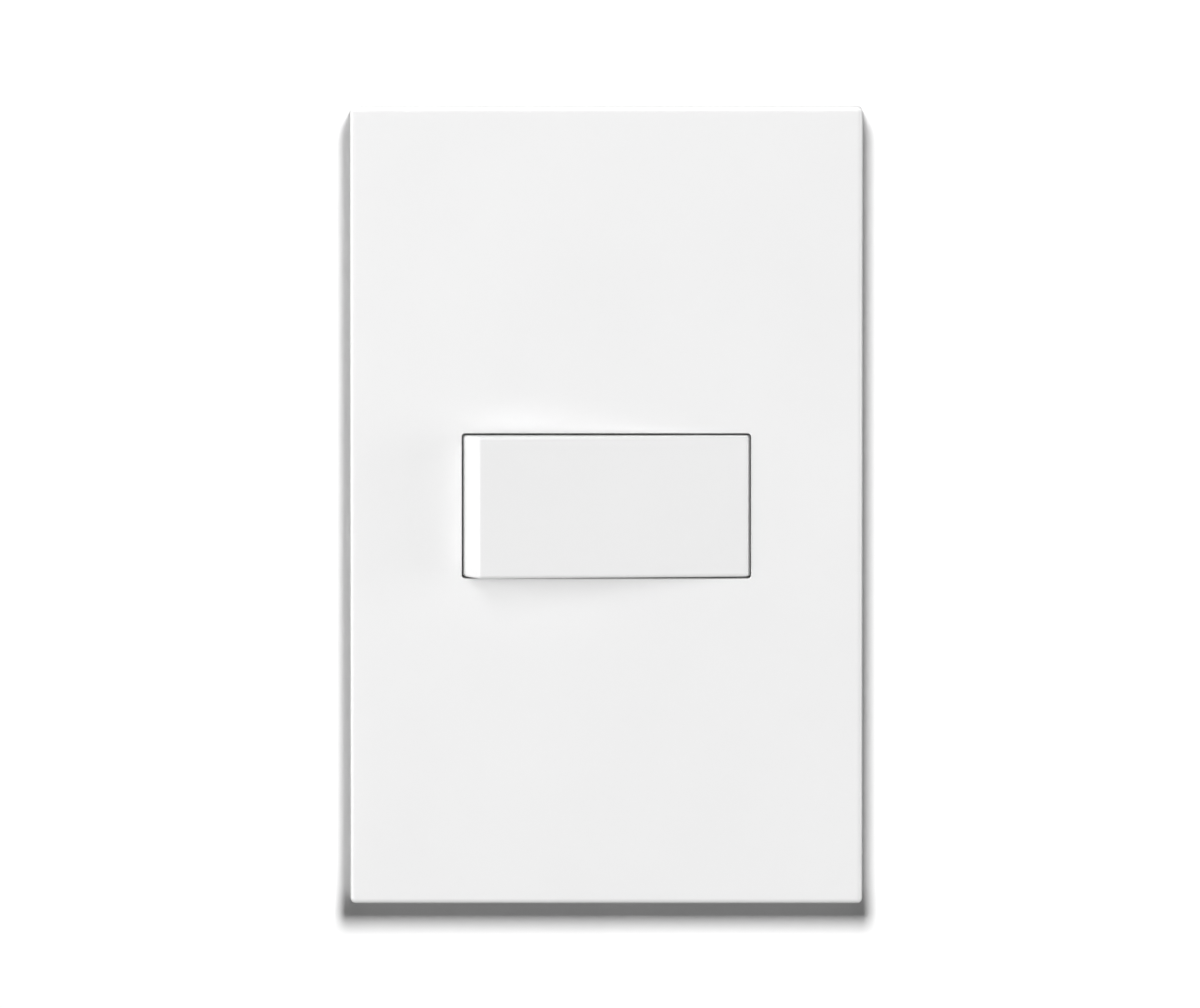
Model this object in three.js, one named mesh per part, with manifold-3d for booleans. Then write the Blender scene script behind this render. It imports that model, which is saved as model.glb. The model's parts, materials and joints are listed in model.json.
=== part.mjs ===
// Rocker wall switch: a push-fit cover plate over a screwed support frame that holds one switch module.
//
// Millimetres, +Z up. The front faces -Y and the wall surface is the plane y = 0, so +Y runs into the
// wall box. The origin is the centre of the cover plate on the wall surface.
//
// The rocker and the contact lever are modelled straight, about their own pivots, and their groups are
// turned to the rest position: left end of the rocker out, circuit open.

import * as THREE from "three";
import { mergeVertices } from "three/addons/utils/BufferGeometryUtils.js";
import Module from "manifold-3d";

const wasm = await Module();
wasm.setup();

// ---------------------------------------------------------------- driving dimensions

const PLATE = { width: 75.8, height: 118, depth: 9, skin: 2, side: 1.8, corner: 0.8, edge: 0.7 };
const WINDOW = { width: 42.8, height: 21.5, corner: 0.5, undercut: 0.6 };
const PLATE_FRONT = -PLATE.depth;
const PLATE_INSIDE = PLATE_FRONT + PLATE.skin;
const UPRIGHT_RIB = { x0: 26, x1: 27, back: -5 };
const CROSS_RIB = { z0: 37.2, z1: 38.2, back: -5.2 };
const PRY_NOTCH = { halfWidth: 5, depth: 1.6 };

// Screw spacing of a 4 x 2 inch wall box, upright.
const BOX_PITCH = 83.3;
const BOX_SCREW = { radius: 1.7, head: 3.4, headHeight: 2.4, length: 25, point: 2, pointRadius: 0.5 };
const CROSS_RECESS = { halfLength: 2.1, halfWidth: 0.45, depth: 1.5 };

// Support frame: a flange on the wall with a raised ring round a bay for three modules.
const FLANGE = { width: 66, height: 106, thick: 2.2, corner: 3 };
const BAY = { width: 47, height: 67.8, wall: 1.6, front: -6.6, ledgeWidth: 43.6, ledgeThick: 1.4 };
const BAY_NOTCH = { front: -4.8, back: -2.8, halfHeight: 3 };
const FIXING_SLOT = { length: 10, width: 4 };
const POCKET = { x0: 12, x1: 27, z0: 39, z1: 49.5, skin: 1 };
const MODULE_PITCH = 22.5;

// Hooks that hold the plate on the frame.
const HOOK = {
  inner: 28.5,
  thick: 1.3,
  width: 8,
  z: 30,
  barb: 1.2,
  barbFront: 0.9,
  barbEdge: 0.8,
  tip: -0.3,
};
const HOOK_SLOT = { inner: 0.9, outer: 0.4, ends: 0.3, ledgeDepth: 1.4 };

// Rocker: its end walls are arcs about the pivot, so the gap to the window stays the same as it rocks.
const PIVOT_DEPTH = 6.5;
const PIVOT_Y = PLATE_FRONT + PIVOT_DEPTH;
const ROCK = THREE.MathUtils.degToRad(6.7);
const KEY_GAP = 0.42;
const KEY_HALF_HEIGHT = 10.48;
const PRESSED_END_PROUD = 0.2;
const KEY = { skin: 1.6, wall: 1.2, depth: 6.1, fillet: 0.5 };
const KEY_RADIUS = Math.hypot(WINDOW.width / 2 - KEY_GAP, PIVOT_DEPTH);
const KEY_EDGE_ANGLE = Math.asin((PIVOT_DEPTH + PRESSED_END_PROUD) / KEY_RADIUS) + ROCK;
const KEY_RISE = KEY_RADIUS * Math.sin(KEY_EDGE_ANGLE);
const CAP_LEDGE = { x0: 12, x1: 14.4, front: -5.5, back: -4.8, reach: 0.8 };
const SPREADER = { halfWidth: 15, halfHeight: 8.9, thick: 1.5, underCap: 0.2 };
const WEB = { halfWidth: 5.5, halfHeight: 7.4, back: 1.8 };
const WEB_RIB = { x0: 5, x1: 13, back: -2.6, halfThick: 0.6 };
const TRUNNION = { radius: 1.75, reach: 8.6, clearance: 0.2 };
const TUBE = { radius: 3.4, bore: 2.05, start: 1, end: 8, top: -4.5 };

// Plunger and its spring, measured along the tube from the rocker's pivot.
const PLUNGER = { radius: 1.9, inner: 4.8, shoulder: 8.6, tipCentre: 10, tipRadius: 1.5 };
const SPRING_PEG = { radius: 0.9, length: 2 };
const SPRING = { radius: 1.45, wire: 0.25, turns: 7, endGap: 0.1 };

// Module: front frame with a well for the rocker, and the rear housing.
const MODULE = { width: 46.6, height: 22.5, front: -6.8, back: -1.6, floor: -2.6 };
const WELL = { width: 44.8, height: 21.3 };
const FLOOR_OPENING = { width: 18, height: 15.6 };
const EAR = { inner: 7.9, outer: 8.8, halfWidth: 3.6, front: -5.2, back: 0.4, slot: 3 };
const LUG = { root: 23, tip: 24.3, front: -4.5, tipBack: -4.1, rootBack: -3.1, halfHeight: 2.5 };
const SNAP_ARM = { inner: 20.3, outer: 21.5, end: 7, halfHeight: 3 };
const SNAP_WINDOW = { front: 3.3, back: 5.7, halfHeight: 2 };
const HOUSING = { halfWidth: 20, halfHeight: 10.4, front: -1.4, back: 24, wall: 1.4 };
const CATCH = { height: 1.2, front: 3.6, crest: 4.9, back: 5.4, halfHeight: 1.7 };
const BLOCK_LEDGE = { inset: 0.3, depth: 1.6, gap: 0.2 };
const STRIP_PILLAR = { halfWidth: 4, halfHeight: 3, gap: 0.2 };
const WIRE_HOLE = { clearance: 0.2, mouthDepth: 0.8, mouthFlare: 1 };
const COLLAR = { width: 1.1, height: 0.6 };
const SIDE_RIB = { height: 0.6, width: 0.8, z: 6.4, front: 8, back: 22 };
const BARRIER = { x: 10.1, thick: 0.8, front: 14.4 };

// Contact lever: a seesaw on knife edges, turned by the plunger the opposite way to the rocker.
const LEVER_PIVOT_Y = 11;
const LEVER_RATIO = 1.2;
const LEVER = { left: -10.4, right: 11.4, halfHeight: 2.2, top: -1.9, thick: 0.8 };
const KNIFE = { inner: 2.3, outer: 3.1, halfWidth: 0.8 };
const CONTACT = { x: 9.5, radius: 1.6, height: 0.8, shank: 0.9, tail: 0.4 };
const BRIDGE_HALF_WIDTH = 2.2;

// Contact strips and wire terminals.
const STRIP = { front: 13.2, thick: 0.8 };
const FIXED_CONTACT_FRONT = 12.4;
const COMMON_STRIP = { left: -17.5, right: 3.4, halfHeight: 3.4 };
const SWITCHED_STRIP = { left: 7.2, right: 17.5, halfHeight: 3 };
const STRIP_EAR = { halfWidth: 2.2, rise: 0.6 };
const EAR_NOTCH = { halfWidth: 1.4, rise: 0.8, depth: 0.15 };
const STOP_TAB = { left: -9.6, right: -8.7, front: 11.5, halfHeight: 1.8 };
const TERMINAL = {
  x: 14.8,
  width: 6.4,
  front: 14.3,
  back: 22,
  halfHeight: 4,
  endWall: 1.2,
  wireRadius: 1.6,
  wireZ: -1,
};
const STRIP_RIVET = { radius: 0.8, hole: 0.9, head: 1.5, headTop: 1.2, headHeight: 0.6, z: 1.8, end: 16 };
const CLAMP_SCREW = {
  radius: 1.3,
  hole: 1.5,
  head: 2.6,
  headHeight: 2,
  tip: -2.2,
  headBase: 4.6,
  chamfer: 0.3,
  y: 18.1,
};
const CLAMP_SLOT = { depth: 0.9, halfWidth: 0.4 };
const CLAMP_HOLE_GAP = 0.4;

// How far a rib or boss is rooted in the wall it grows from, how far a cut runs past the faces it
// opens, and the play between pieces that are fitted together.
const ROOT = 0.5;
const PAST = 1;
const PLAY = 0.1;

// ---------------------------------------------------------------- solids

function solid(geometry) {
  geometry.deleteAttribute("normal");
  geometry.deleteAttribute("uv");
  const merged = mergeVertices(geometry, 1e-4);
  return new wasm.Manifold(
    new wasm.Mesh({
      numProp: 3,
      vertProperties: merged.attributes.position.array,
      triVerts: new Uint32Array(merged.index.array),
    }),
  );
}

function geometryOf(manifold) {
  const mesh = manifold.getMesh();
  const geometry = new THREE.BufferGeometry();
  geometry.setAttribute("position", new THREE.BufferAttribute(mesh.vertProperties, 3));
  geometry.setIndex(new THREE.BufferAttribute(mesh.triVerts, 1));
  geometry.computeVertexNormals();
  return geometry;
}

const join = (...parts) => parts.reduce((a, b) => a.add(b));
const cut = (body, ...tools) => tools.reduce((a, b) => a.subtract(b), body);

function box(x0, x1, y0, y1, z0, z1) {
  const geometry = new THREE.BoxGeometry(x1 - x0, y1 - y0, z1 - z0);
  return solid(geometry.translate((x0 + x1) / 2, (y0 + y1) / 2, (z0 + z1) / 2));
}

const mirrorX = (manifold) => manifold.mirror([1, 0, 0]);
const mirrorZ = (manifold) => manifold.mirror([0, 0, 1]);
const bothX = (manifold) => join(manifold, mirrorX(manifold));
const bothZ = (manifold) => join(manifold, mirrorZ(manifold));

// A solid round bar along Y or along Z.
function rodY(radius, y0, y1, x = 0, z = 0, sides = 24, endRadius = radius) {
  const geometry = new THREE.CylinderGeometry(endRadius, radius, y1 - y0, sides);
  return solid(geometry.translate(x, (y0 + y1) / 2, z));
}

function rodZ(radius, z0, z1, x = 0, y = 0, sides = 24) {
  const geometry = new THREE.CylinderGeometry(radius, radius, z1 - z0, sides).rotateX(Math.PI / 2);
  return solid(geometry.translate(x, y, (z0 + z1) / 2));
}

// An outline drawn in x and z, extruded along Y. A bevel rounds only the front edge.
function slabY(shape, y0, y1, bevel = 0, curveSegments = 4) {
  const settings = { depth: y1 - y0, bevelEnabled: false, curveSegments };
  if (bevel > 0) {
    Object.assign(settings, {
      depth: y1 - y0 - bevel,
      bevelEnabled: true,
      bevelThickness: bevel,
      bevelSize: bevel,
      bevelOffset: -bevel,
      bevelSegments: 4,
    });
  }
  const geometry = new THREE.ExtrudeGeometry(shape, settings).rotateX(Math.PI / 2);
  const slab = solid(geometry.translate(0, y1, 0));
  if (bevel === 0) return slab;
  const behind = box(-100, 100, y1, y1 + 2 * bevel, -100, 100);
  return cut(slab, behind);
}

// An outline drawn in x and y, extruded along Z.
function slabZ(shape, z0, z1, curveSegments = 8) {
  const geometry = new THREE.ExtrudeGeometry(shape, { depth: z1 - z0, bevelEnabled: false, curveSegments });
  return solid(geometry.translate(0, 0, z0));
}

const polygon = (...points) => new THREE.Shape(points.map(([x, y]) => new THREE.Vector2(x, y)));

function roundedRectangle(width, height, corner) {
  const [w, h] = [width / 2 - corner, height / 2 - corner];
  const shape = new THREE.Shape();
  shape.absarc(w, h, corner, 0, Math.PI / 2);
  shape.absarc(-w, h, corner, Math.PI / 2, Math.PI);
  shape.absarc(-w, -h, corner, Math.PI, (3 * Math.PI) / 2);
  shape.absarc(w, -h, corner, (3 * Math.PI) / 2, 2 * Math.PI);
  return shape;
}

// A turned solid about Y from a profile of [radius, y] points that starts and ends on the axis.
function turnedY(profile, sides = 28) {
  return solid(new THREE.LatheGeometry(profile.map(([r, y]) => new THREE.Vector2(r, y)), sides));
}

// ---------------------------------------------------------------- cover plate

function plateWindow() {
  const front = roundedRectangle(WINDOW.width, WINDOW.height, WINDOW.corner);
  const straight = slabY(front, PLATE_FRONT - PAST, PLATE_INSIDE + PAST);
  // The end walls of the window open out towards the back, to follow the rocker's arcs.
  const half = WINDOW.width / 2;
  const undercut = polygon(
    [-half, PLATE_FRONT],
    [half, PLATE_FRONT],
    [half + WINDOW.undercut, PLATE_INSIDE],
    [half + WINDOW.undercut, PLATE_INSIDE + PAST],
    [-half - WINDOW.undercut, PLATE_INSIDE + PAST],
    [-half - WINDOW.undercut, PLATE_INSIDE],
  );
  return join(straight, slabZ(undercut, -WINDOW.height / 2, WINDOW.height / 2));
}

function plateHook() {
  const { inner, thick, width, z, barb, barbFront, barbEdge, tip } = HOOK;
  const outer = inner + thick;
  const profile = polygon(
    [inner, PLATE_INSIDE - ROOT],
    [outer, PLATE_INSIDE - ROOT],
    [outer, tip - barbFront],
    [outer + barb, tip - barbEdge],
    [outer, tip],
    [inner, tip],
  );
  return slabZ(profile, z - width / 2, z + width / 2);
}

function wallPlate() {
  const outside = roundedRectangle(PLATE.width, PLATE.height, PLATE.corner);
  const insideWidth = PLATE.width - 2 * PLATE.side;
  const insideHeight = PLATE.height - 2 * PLATE.side;
  const insideCorner = 0.6;
  const hollow = slabY(roundedRectangle(insideWidth, insideHeight, insideCorner), PLATE_INSIDE, PAST);
  const shell = cut(slabY(outside, PLATE_FRONT, 0, PLATE.edge), hollow);
  const ribFront = PLATE_INSIDE - ROOT;
  const [ribX, ribZ] = [insideWidth / 2 + ROOT, insideHeight / 2 + ROOT];
  const uprightRib = box(UPRIGHT_RIB.x0, UPRIGHT_RIB.x1, ribFront, UPRIGHT_RIB.back, -ribZ, ribZ);
  const crossRib = box(-ribX, ribX, ribFront, CROSS_RIB.back, CROSS_RIB.z0, CROSS_RIB.z1);
  const { halfWidth, depth } = PRY_NOTCH;
  const [notchLow, notchHigh] = [-PLATE.height / 2 - PAST, -insideHeight / 2 + PAST];
  const pryNotch = box(-halfWidth, halfWidth, -depth, PAST, notchLow, notchHigh);
  const hooks = bothX(bothZ(plateHook()));
  return cut(join(shell, bothX(uprightRib), bothZ(crossRib), hooks), plateWindow(), pryNotch);
}

// ---------------------------------------------------------------- support frame and its screws

// The slot runs sideways, so that the frame can be set level on a crooked box.
function fixingSlot() {
  const { length, width } = FIXING_SLOT;
  const nearlyRound = width / 2 - 0.01;
  const slot = slabY(roundedRectangle(length, width, nearlyRound), -FLANGE.thick - PAST, PAST);
  return slot.translate([0, 0, BOX_PITCH / 2]);
}

function hookSlot() {
  const halfWidth = HOOK.width / 2 + HOOK_SLOT.ends;
  const [z0, z1] = [HOOK.z - halfWidth, HOOK.z + halfWidth];
  const lip = HOOK.inner + HOOK.thick + HOOK_SLOT.outer;
  const slot = box(HOOK.inner - HOOK_SLOT.inner, lip, -FLANGE.thick - PAST, PAST, z0, z1);
  const barbRoom = box(lip - PLAY, lip + HOOK.barb, -HOOK_SLOT.ledgeDepth, PAST, z0, z1);
  return join(slot, barbRoom);
}

// Sunk panels in the back of the flange, which leave ribs between them.
function backPockets() {
  const { x0, x1, z0, z1, skin } = POCKET;
  return bothX(bothZ(box(x0, x1, skin - FLANGE.thick, PAST, z0, z1)));
}

function supportFrame() {
  const flange = slabY(roundedRectangle(FLANGE.width, FLANGE.height, FLANGE.corner), -FLANGE.thick, 0);
  const ringWidth = BAY.width + 2 * BAY.wall;
  const ringHeight = BAY.height + 2 * BAY.wall;
  const [ringCorner, bayCorner] = [1, 0.4];
  const ring = slabY(roundedRectangle(ringWidth, ringHeight, ringCorner), BAY.front, 0);
  const bay = slabY(roundedRectangle(BAY.width, BAY.height, bayCorner), BAY.front - PAST, -BAY.ledgeThick);
  const throughOutline = roundedRectangle(BAY.ledgeWidth, BAY.height, bayCorner);
  const through = slabY(throughOutline, -BAY.ledgeThick - PAST, PAST);
  const notches = [-1, 0, 1].map((row) => {
    const { front, back, halfHeight } = BAY_NOTCH;
    const [z0, z1] = [row * MODULE_PITCH - halfHeight, row * MODULE_PITCH + halfHeight];
    return bothX(box(BAY.width / 2 - PAST, ringWidth / 2 + PAST, front, back, z0, z1));
  });
  const slots = bothZ(fixingSlot());
  const hookSlots = bothX(bothZ(hookSlot()));
  return cut(join(flange, ring), bay, through, slots, hookSlots, backPockets(), ...notches);
}

function crossRecess(front) {
  const { halfLength, halfWidth, depth } = CROSS_RECESS;
  const upright = box(-halfWidth, halfWidth, front - PAST, front + depth, -halfLength, halfLength);
  const across = box(-halfLength, halfLength, front - PAST, front + depth, -halfWidth, halfWidth);
  return join(upright, across);
}

function boxScrew() {
  const { radius, head, headHeight, length, point, pointRadius } = BOX_SCREW;
  const seat = -FLANGE.thick - PLAY;
  const front = seat - headHeight;
  const end = seat + length;
  // The crown of the pan head, as shares of its radius and height.
  const crown = [[0, 0], [0.55, 0.0625], [0.88, 1 / 3], [1, 2 / 3]];
  const profile = [
    ...crown.map(([across, down]) => [head * across, front + headHeight * down]),
    [head, seat],
    [radius, seat],
    [radius, end - point],
    [pointRadius, end],
    [0, end],
  ];
  return cut(turnedY(profile), crossRecess(front));
}

// ---------------------------------------------------------------- module frame and housing

function bearingEar() {
  const [z0, z1] = [EAR.inner - PAST, EAR.outer + PAST];
  const hole = rodZ(TRUNNION.radius + TRUNNION.clearance, z0, z1, 0, PIVOT_Y);
  const slot = box(-EAR.slot / 2, EAR.slot / 2, EAR.front - PAST, PIVOT_Y, z0, z1);
  const ear = box(-EAR.halfWidth, EAR.halfWidth, EAR.front, EAR.back, EAR.inner, EAR.outer);
  return { ear, hole: join(hole, slot) };
}

function snapArm() {
  const { inner, outer, end, halfHeight } = SNAP_ARM;
  const arm = box(inner, outer, MODULE.back - ROOT, end, -halfHeight, halfHeight);
  const { front, back, halfHeight: openHalf } = SNAP_WINDOW;
  return cut(arm, box(inner - PAST, outer + PAST, front, back, -openHalf, openHalf));
}

function moduleFrame() {
  const { width, height, front, back, floor } = MODULE;
  const [corner, wellCorner] = [0.6, 0.4];
  const outside = slabY(roundedRectangle(width, height, corner), front, back);
  const well = slabY(roundedRectangle(WELL.width, WELL.height, wellCorner), front - PAST, floor);
  const [openX, openZ] = [FLOOR_OPENING.width / 2, FLOOR_OPENING.height / 2];
  const opening = box(-openX, openX, floor - PAST, back + PAST, -openZ, openZ);
  const lugProfile = polygon(
    [LUG.root, LUG.front],
    [LUG.tip, LUG.front],
    [LUG.tip, LUG.tipBack],
    [LUG.root, LUG.rootBack],
  );
  const lug = slabZ(lugProfile, -LUG.halfHeight, LUG.halfHeight);
  const { ear, hole } = bearingEar();
  const body = cut(outside, well, opening);
  return cut(join(body, bothX(lug), bothX(snapArm()), bothZ(ear)), bothZ(hole));
}

// Opens wider at the mouth, to guide the wire.
function wireHole() {
  const { x, wireZ, wireRadius } = TERMINAL;
  const { clearance, mouthDepth, mouthFlare } = WIRE_HOLE;
  const { back, wall } = HOUSING;
  const radius = wireRadius + clearance;
  const hole = rodY(radius, back - wall - PAST, back + PAST, x, wireZ);
  const mouth = rodY(radius, back - mouthDepth, back + clearance, x, wireZ, 24, radius + mouthFlare);
  return join(hole, mouth);
}

function catchWedge() {
  const { height, front, crest, back, halfHeight } = CATCH;
  const [root, top] = [HOUSING.halfWidth - ROOT, HOUSING.halfWidth + height];
  return slabZ(polygon([root, front], [top, crest], [top, back], [root, back]), -halfHeight, halfHeight);
}

// Two ledges in each terminal chamber that hold the brass block up from the housing wall.
function blockLedges() {
  const { x, width, front, back, halfHeight } = TERMINAL;
  const bottom = HOUSING.wall - HOUSING.halfHeight - ROOT;
  const ledge = (y0, y1) =>
    box(x - width / 2, x + width / 2, y0, y1, bottom, -halfHeight - BLOCK_LEDGE.gap);
  return join(
    ledge(front + BLOCK_LEDGE.inset, front + BLOCK_LEDGE.inset + BLOCK_LEDGE.depth),
    ledge(back - BLOCK_LEDGE.inset - BLOCK_LEDGE.depth, back - BLOCK_LEDGE.inset),
  );
}

function screwCollar() {
  const radius = CLAMP_SCREW.head + CLAMP_HOLE_GAP + COLLAR.width;
  const { halfHeight } = HOUSING;
  return rodZ(radius, halfHeight - ROOT, halfHeight + COLLAR.height, TERMINAL.x, CLAMP_SCREW.y, 32);
}

function sideRib() {
  const { height, width, z, front, back } = SIDE_RIB;
  return box(HOUSING.halfWidth - ROOT, HOUSING.halfWidth + height, front, back, z, z + width);
}

function housingBase() {
  const { halfWidth, halfHeight, front, back, wall } = HOUSING;
  const [corner, insideCorner] = [1, 0.4];
  const outside = slabY(roundedRectangle(2 * halfWidth, 2 * halfHeight, corner), front, back);
  const [insideWidth, insideHeight] = [2 * (halfWidth - wall), 2 * (halfHeight - wall)];
  const hollow = slabY(roundedRectangle(insideWidth, insideHeight, insideCorner), front - PAST, back - wall);
  const inner = halfHeight - wall;
  const grownFrom = back - wall + ROOT;
  const barrierHalf = inner + ROOT;
  const barrier = box(
    BARRIER.x,
    BARRIER.x + BARRIER.thick,
    BARRIER.front,
    grownFrom,
    -barrierHalf,
    barrierHalf,
  );
  const pillarFront = STRIP.front + STRIP.thick + STRIP_PILLAR.gap;
  const { halfWidth: pillarX, halfHeight: pillarZ } = STRIP_PILLAR;
  const stripPillar = box(-pillarX, pillarX, pillarFront, grownFrom, -pillarZ, pillarZ);
  const holeRadius = CLAMP_SCREW.head + CLAMP_HOLE_GAP;
  const screwHole = rodZ(holeRadius, inner - PAST, halfHeight + PAST, TERMINAL.x, CLAMP_SCREW.y, 32);
  const grown = join(
    cut(outside, hollow),
    bothX(barrier),
    stripPillar,
    bothX(blockLedges()),
    bothX(catchWedge()),
    bothX(screwCollar()),
    bothX(bothZ(sideRib())),
  );
  return cut(grown, bothX(wireHole()), bothX(screwHole));
}

// ---------------------------------------------------------------- rocker, about its pivot

// The rocker's end-on outline: a flat face and two arcs about the pivot, with the face's ends rounded.
function rockerOutline(radius, rise, bottom, fillet) {
  const shape = new THREE.Shape();
  // The fillet's centre lies inside both the arc and the face.
  const centreY = -(rise - fillet);
  const centreX = Math.sqrt((radius - fillet) ** 2 - centreY ** 2);
  const blend = Math.atan2(centreY, centreX);
  const low = Math.asin(bottom / radius);
  shape.absarc(0, 0, radius, -low, blend, true);
  shape.absarc(centreX, centreY, fillet, blend, -Math.PI / 2, true);
  shape.absarc(-centreX, centreY, fillet, -Math.PI / 2, -Math.PI - blend, true);
  shape.absarc(0, 0, radius, -Math.PI - blend, -Math.PI + low, true);
  return shape;
}

function rockerCap() {
  const bottom = KEY_RISE - KEY.depth;
  const outside = slabZ(
    rockerOutline(KEY_RADIUS, KEY_RISE, bottom, KEY.fillet),
    -KEY_HALF_HEIGHT,
    KEY_HALF_HEIGHT,
    6,
  );
  const insideHalf = KEY_HALF_HEIGHT - KEY.wall;
  const insideFillet = 0.4;
  const hollow = slabZ(
    rockerOutline(KEY_RADIUS - KEY.wall, KEY_RISE - KEY.skin, bottom - PAST, insideFillet),
    -insideHalf,
    insideHalf,
    6,
  );
  const { x0, x1, front, back, reach } = CAP_LEDGE;
  const ledge = box(x0, x1, front, back, insideHalf - reach, insideHalf + ROOT);
  return join(cut(outside, hollow), bothX(bothZ(ledge)));
}

function rockerCarrier() {
  const front = KEY.skin - KEY_RISE + SPREADER.underCap;
  const behind = front + SPREADER.thick;
  const { halfWidth, halfHeight } = SPREADER;
  const spreader = box(-halfWidth, halfWidth, front, behind, -halfHeight, halfHeight);
  const web = box(-WEB.halfWidth, WEB.halfWidth, behind - ROOT, WEB.back, -WEB.halfHeight, WEB.halfHeight);
  const trunnions = rodZ(TRUNNION.radius, -TRUNNION.reach, TRUNNION.reach);
  const tube = rodY(TUBE.radius, TUBE.start, TUBE.end, 0, 0, 32);
  const bore = rodY(TUBE.bore, TUBE.top, TUBE.end + PAST, 0, 0, 32);
  const { x0, x1, back, halfThick } = WEB_RIB;
  const rib = box(x0, x1, behind - ROOT, back, -halfThick, halfThick);
  return cut(join(spreader, web, trunnions, tube, bothX(rib)), bore);
}

function plungerPin() {
  const { radius, inner, shoulder, tipCentre, tipRadius } = PLUNGER;
  const steps = 6;
  const dome = Array.from({ length: steps + 1 }, (_, i) => {
    const turn = (i / steps) * (Math.PI / 2);
    return [i === steps ? 0 : tipRadius * Math.cos(turn), tipCentre + tipRadius * Math.sin(turn)];
  });
  const peg = SPRING_PEG.radius;
  const pegEnd = inner - SPRING_PEG.length;
  const body = [[0, pegEnd], [peg, pegEnd], [peg, inner], [radius, inner], [radius, shoulder]];
  return turnedY([...body, ...dome], 24);
}

class Helix extends THREE.Curve {
  getPoint(t, target = new THREE.Vector3()) {
    const turn = 2 * Math.PI * SPRING.turns * t;
    const start = TUBE.top + SPRING.wire + SPRING.endGap;
    const end = PLUNGER.inner - SPRING.wire - SPRING.endGap;
    return target.set(
      SPRING.radius * Math.cos(turn),
      THREE.MathUtils.lerp(start, end, t),
      SPRING.radius * Math.sin(turn),
    );
  }
}

function plungerSpring() {
  const wire = new THREE.Shape().absarc(0, 0, SPRING.wire, 0, 2 * Math.PI);
  const steps = SPRING.turns * 12;
  const settings = { steps, extrudePath: new Helix(), curveSegments: 6, bevelEnabled: false };
  return solid(new THREE.ExtrudeGeometry(wire, settings));
}

// ---------------------------------------------------------------- contacts, the lever about its pivot

function contactLever() {
  const { left, right, halfHeight, top, thick } = LEVER;
  const under = top + thick;
  const corner = 1.2;
  const strap = slabY(roundedRectangle(right - left, 2 * halfHeight, corner), top, under);
  const bridge = box(-BRIDGE_HALF_WIDTH, BRIDGE_HALF_WIDTH, top, under, -KNIFE.outer, KNIFE.outer);
  const root = under - ROOT;
  const edge = polygon([-KNIFE.halfWidth, root], [KNIFE.halfWidth, root], [0, 0]);
  const knife = slabZ(edge, KNIFE.inner, KNIFE.outer);
  const body = join(strap.translate([(left + right) / 2, 0, 0]), bridge, bothZ(knife));
  return cut(body, rodY(CONTACT.shank + PLAY / 2, top - PAST, under + PAST, CONTACT.x, 0));
}

function movingContact() {
  const under = LEVER.top + LEVER.thick;
  const { x, radius, height, tail: tailThick } = CONTACT;
  const shankRadius = CONTACT.shank - PLAY / 2;
  const [tailBack, faceFront] = [LEVER.top - PLAY, under + PLAY];
  const shank = rodY(shankRadius, tailBack - PLAY, faceFront + PLAY, x, 0);
  const face = rodY(radius, faceFront, under + height, x, 0, 24, radius - 0.15);
  const tail = rodY(CONTACT.shank + tailThick, tailBack - tailThick, tailBack, x, 0);
  return join(shank, face, tail);
}

function fixedContact() {
  const { x, radius, shank: holeRadius, tail: tailThick } = CONTACT;
  const [headBack, tailFront] = [STRIP.front - PLAY, STRIP.front + STRIP.thick + PLAY];
  const head = rodY(radius - PLAY / 2, FIXED_CONTACT_FRONT, headBack, x, 0);
  const shank = rodY(holeRadius - PLAY / 2, headBack - PLAY, tailFront + PLAY, x, 0);
  const tail = rodY(holeRadius + tailThick, tailFront, tailFront + 0.75 * tailThick, x, 0);
  return join(head, shank, tail);
}

// Where a contact strip is riveted to its terminal block: a clearance hole through both.
function stripRivetHole() {
  const { hole, z, end } = STRIP_RIVET;
  return rodY(hole, STRIP.front - PAST, end + PLAY, TERMINAL.x, z);
}

function stripRivet() {
  const { radius, head, headHeight, headTop, z, end } = STRIP_RIVET;
  const underHead = STRIP.front - PLAY;
  const shank = rodY(radius, underHead - PLAY, end, TERMINAL.x, z);
  return join(shank, rodY(headTop, underHead - headHeight, underHead, TERMINAL.x, z, 24, head));
}

// Bent brass strip under the lever: two notched ears carry its knife edges, and a tab stops its left arm.
function commonStrip() {
  const { front, thick } = STRIP;
  const { left, right, halfHeight } = COMMON_STRIP;
  const strap = box(left, right, front, front + thick, -halfHeight, halfHeight);
  const notchTop = LEVER_PIVOT_Y - EAR_NOTCH.rise;
  const notch = polygon(
    [-EAR_NOTCH.halfWidth, notchTop],
    [EAR_NOTCH.halfWidth, notchTop],
    [0, LEVER_PIVOT_Y + EAR_NOTCH.depth],
  );
  const root = front + thick / 2;
  const { halfWidth, rise } = STRIP_EAR;
  const ear = box(-halfWidth, halfWidth, LEVER_PIVOT_Y - rise, root, KNIFE.inner, KNIFE.outer);
  const notchedEar = cut(ear, slabZ(notch, KNIFE.inner - PAST, KNIFE.outer + PAST));
  const { left: tabLeft, right: tabRight, front: tabFront, halfHeight: tabHalf } = STOP_TAB;
  const stopTab = box(tabLeft, tabRight, tabFront, root, -tabHalf, tabHalf);
  return cut(join(strap, bothZ(notchedEar), stopTab), mirrorX(stripRivetHole()));
}

function switchedStrip() {
  const { front, thick } = STRIP;
  const { left, right, halfHeight } = SWITCHED_STRIP;
  const strap = box(left, right, front, front + thick, -halfHeight, halfHeight);
  const contactHole = rodY(CONTACT.shank + PLAY / 2, front - PAST, front + thick + PAST, CONTACT.x, 0);
  return cut(strap, contactHole, stripRivetHole());
}

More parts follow.
